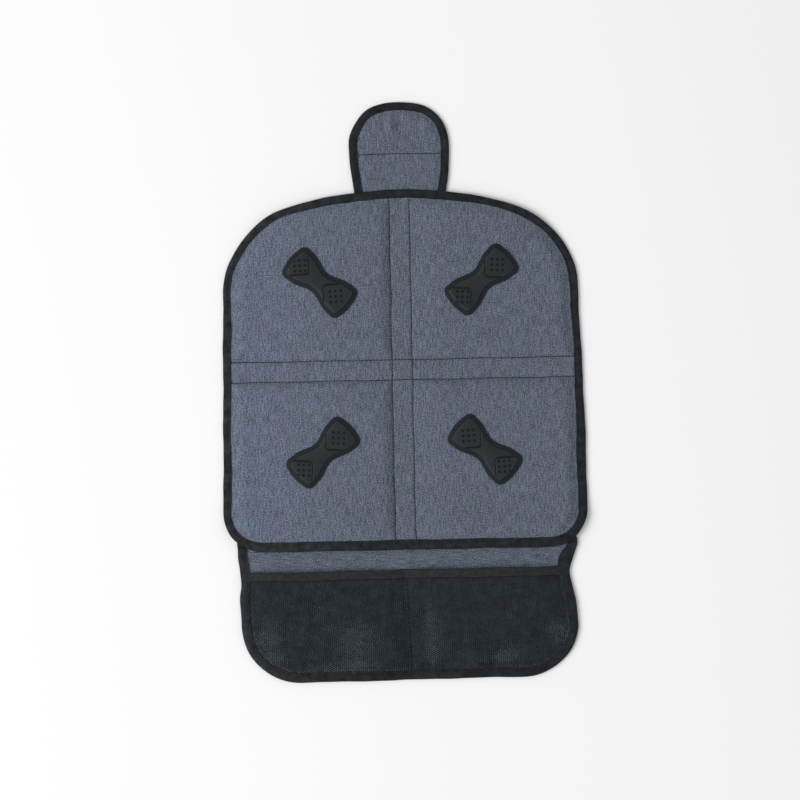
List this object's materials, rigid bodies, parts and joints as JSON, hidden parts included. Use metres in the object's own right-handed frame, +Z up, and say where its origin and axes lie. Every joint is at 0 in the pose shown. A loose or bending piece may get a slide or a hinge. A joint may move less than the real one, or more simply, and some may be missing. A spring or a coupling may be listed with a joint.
{
  "type": "car seat protector",
  "caption": "Quilted seat mat laid flat, with rubber grips, a rear tuck-in tab and a front apron with a divided mesh pocket; it shields a car seat under a child seat.",
  "frame": {"origin": "under the middle of the whole mat's outline, on the surface it lies on", "axes": "+X across the seat to the right, +Y towards the tab at the backrest, +Z up out of the face cloth"},
  "size_m": [0.4724, 0.7514, 0.0131],
  "materials": {
    "face_cloth": "blue-grey melange polyester, matt",
    "backing_cloth": "black non-slip cloth, matt",
    "binding_tape": "black woven binding tape, matt",
    "sewing_thread": "dark navy polyester thread",
    "pad_foam": "soft foam",
    "grip_rubber": "charcoal moulded rubber, satin",
    "pocket_netting": "black knitted mesh"
  },
  "bodies": {
    "root": {"seat_face": "face_cloth", "seat_backing": "backing_cloth", "seat_binding": "binding_tape", "quilt_thread": "sewing_thread", "foam_rear_left": "pad_foam", "foam_rear_right": "pad_foam", "foam_front_left": "pad_foam", "foam_front_right": "pad_foam", "grip_rear_left": "grip_rubber", "grip_rear_right": "grip_rubber", "grip_front_left": "grip_rubber", "grip_front_right": "grip_rubber", "tab_face": "face_cloth", "tab_backing": "backing_cloth", "tab_binding": "binding_tape", "tab_thread": "sewing_thread", "apron_face": "face_cloth", "apron_backing": "backing_cloth", "apron_binding": "binding_tape", "pocket_mesh": "pocket_netting", "pocket_hem": "binding_tape", "pocket_thread": "sewing_thread"}
  },
  "joints": []
}
